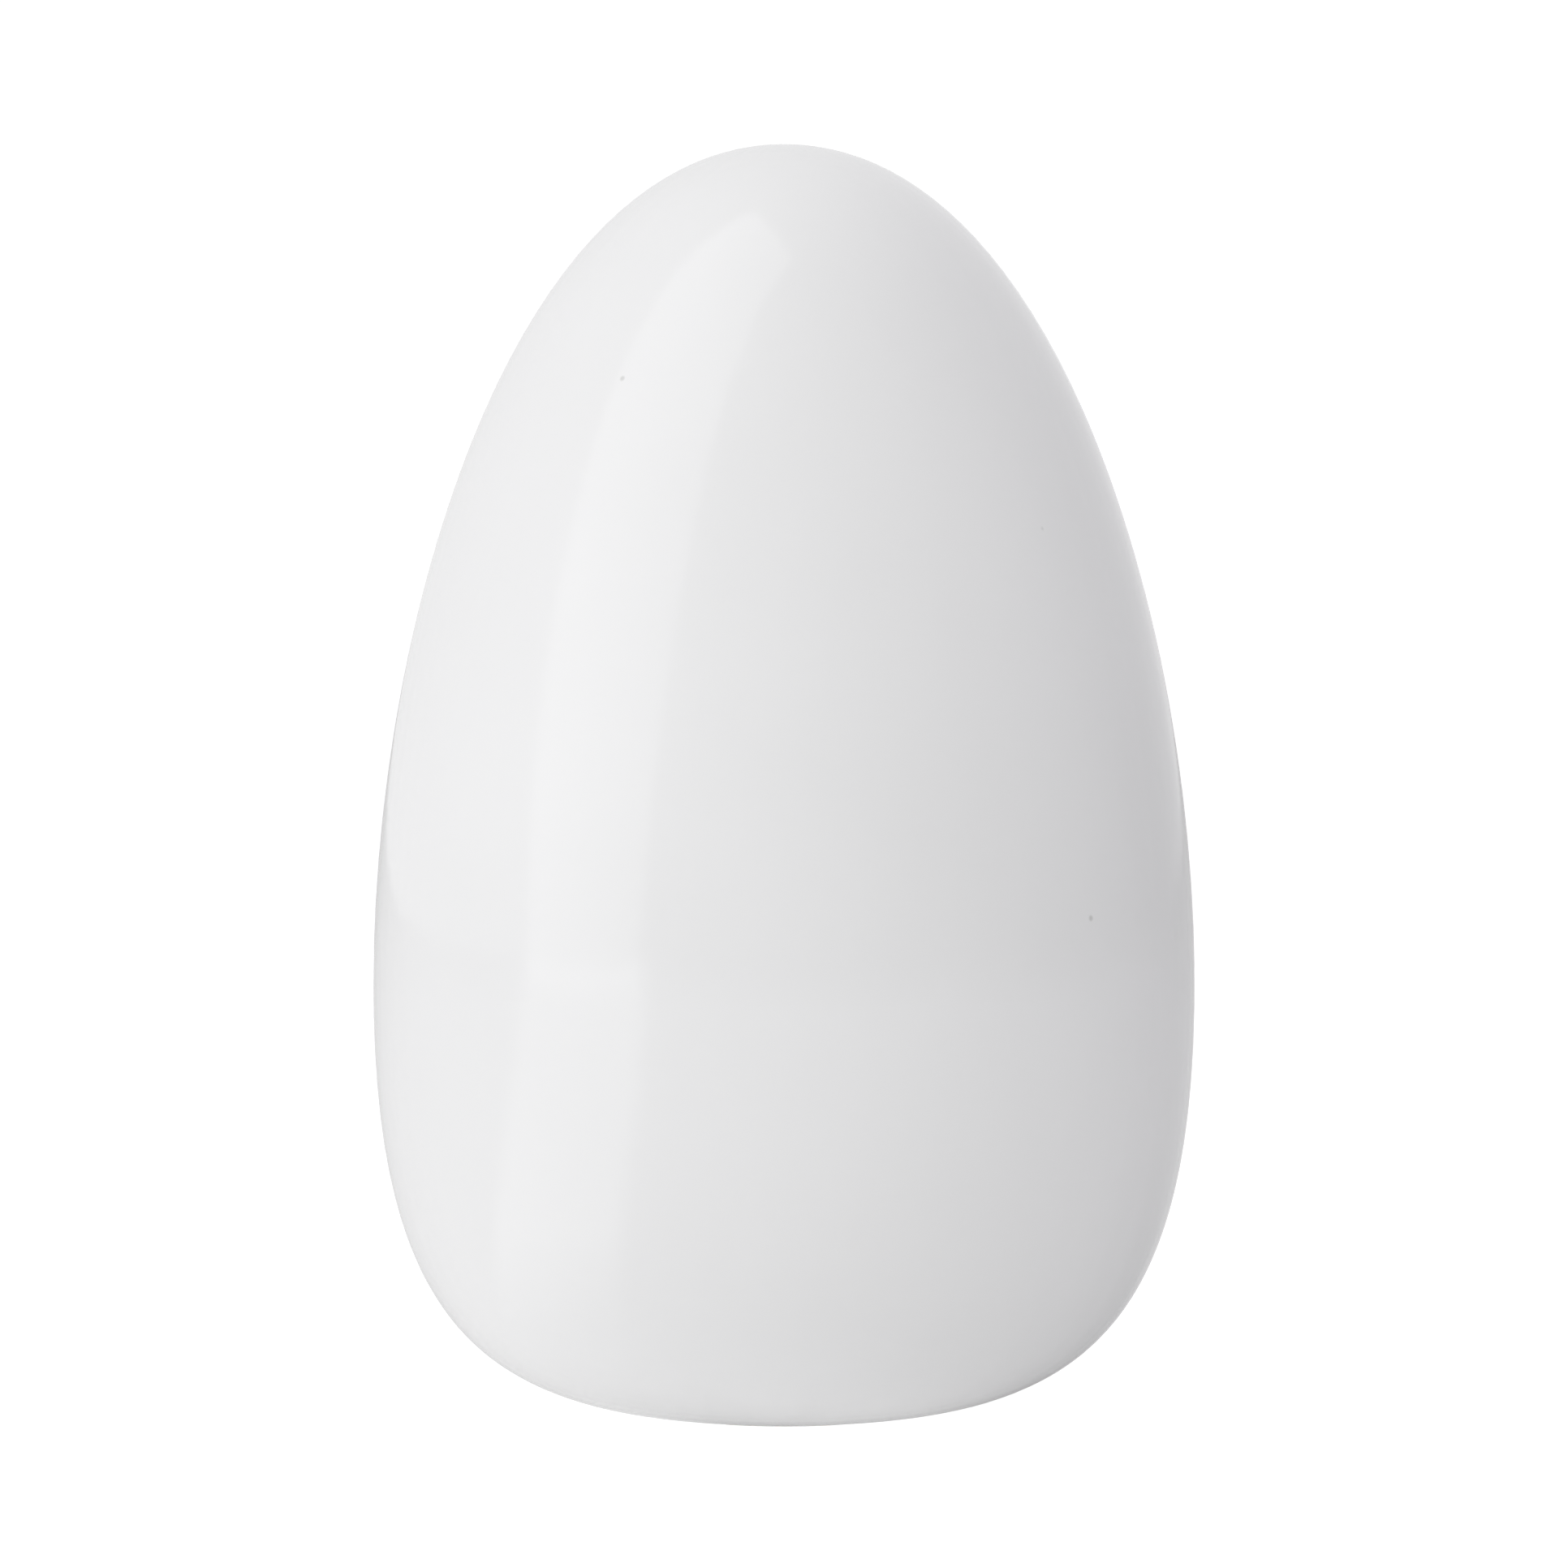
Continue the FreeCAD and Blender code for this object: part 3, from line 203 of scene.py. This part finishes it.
def satin_white(name):
    """The dial's spark-eroded finish, a fine even grain."""
    n = Nodes(name)
    n.set(IOR=1.48)
    clouds = n.ramp(n.noise(14), [(0.3, (0.70, 0.70, 0.69)), (0.7, (0.76, 0.76, 0.75))])
    grain = n.bump(n.noise(0.22), 0.03, 0.55)
    return n.finish(clouds, n.gloss(n.noise(0.5, detail=2), 0.42, 0.56), grain)


def signal_orange(name):
    """Dyed plastic, a little mottled under a thin gloss."""
    n = Nodes(name)
    n.set(IOR=1.5, Coat_Weight=0.2)
    colour = n.ramp(n.noise(1.8), [(0.3, (0.62, 0.085, 0.012)), (0.7, (0.74, 0.115, 0.018))])
    return n.finish(colour, n.gloss(n.noise(0.6), 0.26, 0.38), n.bump(n.noise(0.5), 0.015, 0.4))


def ink(name, dark, light):
    """Pad-printed ink: slightly uneven, with a low sheen."""
    n = Nodes(name)
    n.set(IOR=1.45)
    colour = n.ramp(n.noise(0.5, detail=4, roughness=0.6), [(0.3, dark), (0.75, light)])
    return n.finish(colour, n.gloss(n.noise(0.3), 0.38, 0.58), n.bump(n.noise(0.18), 0.01, 0.5))


def silicone(name):
    """Matt white rubber that lets a little light in."""
    n = Nodes(name)
    n.set(IOR=1.41, Subsurface_Weight=0.15, Subsurface_Scale=0.002)
    colour = n.ramp(n.noise(3, detail=4), [(0.3, (0.70, 0.70, 0.69)), (0.7, (0.78, 0.78, 0.77))])
    return n.finish(colour, n.gloss(n.noise(1.0), 0.5, 0.68), n.bump(n.noise(0.35), 0.04, 0.6))


def die_cast(name):
    """Dull grey metal as it leaves the mould, mottled and slightly pitted."""
    n = Nodes(name)
    n.set(Metallic=0.85)
    mottle = n.noise(4, detail=5, roughness=0.6)
    colour = n.ramp(mottle, [(0.3, (0.24, 0.245, 0.26)), (0.7, (0.40, 0.41, 0.43))])
    pits = n.bump(n.noise(0.6, detail=4), 0.06, 0.7)
    return n.finish(colour, n.gloss(n.noise(1.5, detail=4), 0.38, 0.62), pits)


def drawn_metal(name, dark, light, rough):
    """Turned or rolled metal: streaks along one way, and a little tarnish in patches."""
    n = Nodes(name)
    n.set(Metallic=1.0)
    streaks = n.noise(1.2, detail=5, roughness=0.65, place=n.stretched((1.0, 14.0, 1.0)))
    patches = n.ramp(n.noise(5), [(0.25, (0.86, 0.85, 0.84)), (0.6, (1, 1, 1))])
    colour = n.multiply(n.ramp(streaks, [(0.3, dark), (0.7, light)]), patches)
    return n.finish(colour, n.gloss(streaks, rough - 0.07, rough + 0.10), n.bump(streaks, 0.02, 0.35))


def fibre(name):
    """Pressed black fibre, matt and uneven."""
    n = Nodes(name)
    mottle = n.noise(0.5, detail=6, roughness=0.7)
    colour = n.ramp(mottle, [(0.3, (0.012, 0.012, 0.014)), (0.75, (0.045, 0.042, 0.04))])
    return n.finish(colour, n.gloss(n.noise(0.8), 0.7, 0.9), n.bump(n.noise(0.3, detail=5), 0.05, 0.8))


slot_materials = {
    "shell": glossy_white("glossy_white_abs"),
    "mark": signal_orange("signal_orange"),
    "foot": silicone("white_silicone"),
    "ballast": die_cast("die_cast_zinc"),
    "dial": satin_white("satin_white_abs"),
    "grip": glossy_white("glossy_white_grip"),
    "steel": drawn_metal("turned_steel", (0.40, 0.405, 0.41), (0.62, 0.62, 0.63), 0.30),
    "spring_steel": drawn_metal("blued_spring_steel", (0.05, 0.07, 0.13), (0.12, 0.15, 0.24), 0.28),
    "plated": drawn_metal("nickel_plate", (0.66, 0.65, 0.62), (0.76, 0.75, 0.72), 0.14),
    "brass": drawn_metal("clock_brass", (0.62, 0.40, 0.12), (0.80, 0.57, 0.21), 0.26),
    "fibre": fibre("pressed_fibre"),
}
black_ink = ink("black_ink", (0.012, 0.012, 0.013), (0.03, 0.03, 0.032))


def dress_cad_nodes():
    for part in frame["record"]["subparts"]:
        piece = frame["nodes"][part["node"]]
        piece.data.materials.clear()
        piece.data.materials.append(slot_materials[part["material_slot"]])


# --- what is printed on the dial ---
# Lengths are in metres.
minutes_on_dial = 60
minutes_per_numeral = 5
degrees_per_minute = 330.0 / minutes_on_dial
print_thickness = 0.00003
tick_outer = dial_radius - 0.0011
main_tick_length, main_tick_width = 0.0021, 0.00042
minor_tick_length, minor_tick_width = 0.0012, 0.00022
numeral_radius = dial_radius - 0.0048
numeral_height = 0.0027
font_size_for_height = 1.25
stroke_depth_share = 0.01
stroke_edge_share = 0.012


def face_matrix(radius, degrees, turn):
    """From a print's own x and y to the dial's face, at degrees anticlockwise from its right."""
    face = Matrix.Translation((0, dial_face_y, dial_z)) @ Matrix((
        (-1, 0, 0, 0), (0, 0, 1, 0), (0, 1, 0, 0), (0, 0, 0, 1),
    ))
    angle = math.radians(degrees)
    place = Matrix.Translation((radius * math.cos(angle), radius * math.sin(angle), 0))
    return face @ place @ Matrix.Rotation(math.radians(turn), 4, "Z")


def scale_degrees(minute):
    """Where a minute is printed. The 0 is at the top at rest, and the rest go anticlockwise."""
    return 90.0 + minute * degrees_per_minute


def joined_mesh(name, meshes, material):
    """One piece made of meshes, each a list of corners and a list of faces."""
    corners, faces = [], []
    for own_corners, own_faces in meshes:
        first = len(corners)
        corners += own_corners
        faces += [[first + i for i in face] for face in own_faces]
    mesh = bpy.data.meshes.new(name)
    mesh.from_pydata(corners, [], faces)
    mesh.materials.append(material)
    mesh.validate()
    piece = bpy.data.objects.new(name, mesh)
    bpy.context.scene.collection.objects.link(piece)
    return piece


def bar_mesh(width, length, matrix):
    """A thin printed bar with rounded corners, its length outwards from the dial's axis."""
    outline = []
    corner = width * 0.45
    steps = 3
    for cx, cy, start in ((1, 1, 0), (-1, 1, 90), (-1, -1, 180), (1, -1, 270)):
        for step in range(steps + 1):
            angle = math.radians(start + 90.0 * step / steps)
            outline.append((
                cx * (length / 2 - corner) + corner * math.cos(angle),
                cy * (width / 2 - corner) + corner * math.sin(angle),
            ))
    count = len(outline)
    corners = [matrix @ Vector((x, y, z)) for z in (0.0, print_thickness) for x, y in outline]
    faces = [list(range(count, 2 * count)), list(range(count - 1, -1, -1))]
    faces += [[i, (i + 1) % count, count + (i + 1) % count, count + i] for i in range(count)]
    return corners, faces


def make_ticks():
    """A tick for each minute, longer and wider at the numerals."""
    bars = []
    for minute in range(minutes_on_dial + 1):
        length, width = minor_tick_length, minor_tick_width
        if minute % minutes_per_numeral == 0:
            length, width = main_tick_length, main_tick_width
        degrees = scale_degrees(minute)
        bars.append(bar_mesh(width, length, face_matrix(tick_outer - length / 2, degrees, degrees)))
    return joined_mesh("minute_ticks", bars, black_ink)


def numeral_mesh(text, size, matrix):
    """A number as a thin solid print, from Blender's own font."""
    curve = bpy.data.curves.new("numeral", "FONT")
    curve.body = text
    curve.size = size
    curve.align_x = "CENTER"
    curve.align_y = "CENTER"
    curve.extrude = size * stroke_depth_share
    curve.bevel_depth = size * stroke_edge_share
    curve.bevel_resolution = 0
    curve.resolution_u = 6
    holder = bpy.data.objects.new("numeral", curve)
    bpy.context.scene.collection.objects.link(holder)
    bpy.context.view_layer.update()
    depsgraph = bpy.context.evaluated_depsgraph_get()
    mesh = bpy.data.meshes.new_from_object(holder.evaluated_get(depsgraph))
    flatten = print_thickness / (2 * max(v.co.z for v in mesh.vertices))
    corners = []
    for v in mesh.vertices:
        height = v.co.z * flatten + print_thickness / 2
        corners.append(matrix @ Vector((v.co.x, v.co.y, height)))
    faces = [list(p.vertices) for p in mesh.polygons]
    bpy.data.meshes.remove(mesh)
    bpy.data.objects.remove(holder)
    bpy.data.curves.remove(curve)
    return corners, faces


def make_numerals():
    """The minutes in fives, each upright when it is under the index."""
    prints = []
    for minute in range(0, minutes_on_dial + 1, minutes_per_numeral):
        degrees = scale_degrees(minute)
        matrix = face_matrix(numeral_radius, degrees, degrees - 90.0)
        prints.append(numeral_mesh(str(minute), numeral_height * font_size_for_height, matrix))
    return joined_mesh("minute_numerals", prints, black_ink)


# --- studio ---
# The world's light is a wrap that grows towards wrap_direction, over these cosines of the angle to it.
wrap_direction = (-0.664, 0.664, 0.342)
wrap_span = (-0.35, 0.65)
wrap_low = 0.21
wrap_high = 0.85
backdrop_strength = 1.05
lamp_distance = 1.0
floor_radius = 8.0

# How strongly the floor glows. For diffuse light it falls from glow_left to glow_right, over glow_reach to
# either side of the egg's axis. Under the egg it is glow_at_foot, which fades out over foot_reach.
glow_left = 0.79
glow_right = 0.25
glow_reach = 0.06
glow_at_foot = 0.80
foot_reach = (0.012, 0.024)
# The camera sees glow_seen. Reflections see glow_mirrored, which meets the world's wrap at the horizon, and
# a strip that carries the softbox's highlight down. strip_edge is in cosines of the angle to its middle.
glow_seen = 0.72
glow_mirrored = (0.02, 0.26)
glow_strip = 0.80
strip_direction = (-0.848, -0.530, 0.0)
strip_edge = (0.925, 0.955)
strip_reach = (0.027, 0.052)


def make_floor():
    """A wide pale floor, whose glow makes up the backdrop's white and lights the egg from below."""
    bpy.ops.mesh.primitive_circle_add(
        vertices=128, radius=floor_radius, fill_type="NGON", location=(0, 0, lowest.z))
    floor = bpy.context.object
    floor.name = "floor"
    n = Nodes("pale_floor")
    n.set(Emission_Color=(1, 1, 1, 1), Specular_IOR_Level=0.1)
    path = n.tree.nodes.new("ShaderNodeLightPath")
    parts = n.tree.nodes.new("ShaderNodeSeparateXYZ")
    n.link(n.place, parts.inputs["Vector"])
    glow = n.spread(parts.outputs["X"], glow_left, glow_right, -glow_reach, glow_reach)
    glow = n.blend(n.spread(n.distance(), 1.0, 0.0, *foot_reach), glow, glow_at_foot)
    mirrored = n.spread(n.alignment(wrap_direction), *glow_mirrored, *wrap_span, "SMOOTHSTEP")
    strip = n.blend(n.spread(n.distance(), 0.0, 1.0, *strip_reach), mirrored, glow_strip)
    mirrored = n.blend(n.spread(n.alignment(strip_direction), 0.0, 1.0, *strip_edge), mirrored, strip)
    seen = n.blend(path.outputs["Is Camera Ray"], mirrored, glow_seen)
    n.link(n.blend(path.outputs["Is Diffuse Ray"], seen, glow), n.shader.inputs["Emission Strength"])
    colour = n.ramp(n.noise(400, detail=4), [(0.3, (0.50, 0.50, 0.50)), (0.7, (0.53, 0.53, 0.53))])
    rough = n.spread(n.noise(120), 0.7, 0.85)
    floor.data.materials.append(n.finish(colour, rough, n.bump(n.noise(3), 0.05, 0.2)))


def make_world():
    """White where the camera sees it; as a light, a soft wrap from the left and behind."""
    world = bpy.data.worlds.new("studio")
    world.use_nodes = True
    tree = world.node_tree
    seen = tree.nodes["Background"]
    seen.inputs["Color"].default_value = (1, 1, 1, 1)
    seen.inputs["Strength"].default_value = backdrop_strength
    direction = tree.nodes.new("ShaderNodeTexCoord")
    towards = tree.nodes.new("ShaderNodeVectorMath")
    towards.operation = "DOT_PRODUCT"
    towards.inputs[1].default_value = wrap_direction
    tree.links.new(direction.outputs["Generated"], towards.inputs[0])
    wrap = tree.nodes.new("ShaderNodeMapRange")
    wrap.interpolation_type = "SMOOTHSTEP"
    wrap.inputs["From Min"].default_value, wrap.inputs["From Max"].default_value = wrap_span
    wrap.inputs["To Min"].default_value = wrap_low
    wrap.inputs["To Max"].default_value = wrap_high
    tree.links.new(towards.outputs["Value"], wrap.inputs["Value"])
    lit = tree.nodes.new("ShaderNodeBackground")
    lit.inputs["Color"].default_value = (0.995, 0.993, 1.0, 1)
    tree.links.new(wrap.outputs["Result"], lit.inputs["Strength"])
    path = tree.nodes.new("ShaderNodeLightPath")
    mix = tree.nodes.new("ShaderNodeMixShader")
    tree.links.new(path.outputs["Is Camera Ray"], mix.inputs["Fac"])
    tree.links.new(lit.outputs["Background"], mix.inputs[1])
    tree.links.new(seen.outputs["Background"], mix.inputs[2])
    tree.links.new(mix.outputs["Shader"], tree.nodes["World Output"].inputs["Surface"])
    bpy.context.scene.world = world


def add_area_light(name, azimuth, elevation, width, height, watts, colour=(1, 1, 1)):
    """A soft light aimed at the egg's middle, at azimuth degrees to the right of the camera's side."""
    around, up = math.radians(azimuth), math.radians(elevation)
    direction = Vector((math.sin(around) * math.cos(up), -math.cos(around) * math.cos(up), math.sin(up)))
    light = bpy.data.lights.new(name, "AREA")
    light.shape = "RECTANGLE"
    light.size = width
    light.size_y = height
    light.energy = watts
    light.color = colour
    lamp = bpy.data.objects.new(name, light)
    lamp.location = egg_middle + direction * lamp_distance
    lamp.rotation_euler = direction.to_track_quat("Z", "Y").to_euler()
    bpy.context.scene.collection.objects.link(lamp)
    return lamp


def make_lights():
    """Only the tall softbox shows as a highlight, a faint strip down the left of the egg."""
    add_area_light("softbox", azimuth=-58, elevation=30, width=0.75, height=3.0, watts=4.6)
    overhead = add_area_light("overhead", azimuth=22, elevation=44, width=0.9, height=0.9, watts=4.8)
    edge_fill = add_area_light(
        "edge_fill", azimuth=103, elevation=14, width=0.9, height=0.9, watts=1.05,
        colour=(0.88, 0.80, 1.0))
    for lamp in (overhead, edge_fill):
        lamp.visible_glossy = False


def make_camera():
    """Level with the plain side, from far off. The egg fills share_of_frame of the frame's height."""
    share_of_frame = 0.8154
    elevation = math.radians(2.0)
    distance = 1.1
    camera = bpy.data.cameras.new("camera")
    camera.sensor_width = 36.0
    camera.lens = camera.sensor_width * distance * share_of_frame / egg_height
    camera.clip_start = 0.05
    camera.clip_end = 50.0
    holder = bpy.data.objects.new("camera", camera)
    away = Vector((0, -math.cos(elevation), math.sin(elevation)))
    holder.location = egg_middle + away * distance
    holder.rotation_euler = away.to_track_quat("Z", "Y").to_euler()
    bpy.context.scene.collection.objects.link(holder)
    bpy.context.scene.camera = holder


dress_cad_nodes()
for printed in (make_ticks(), make_numerals()):
    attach(printed, "dial")
make_floor()
make_world()
make_lights()
make_camera()
bpy.context.scene.view_settings.view_transform = "Standard"
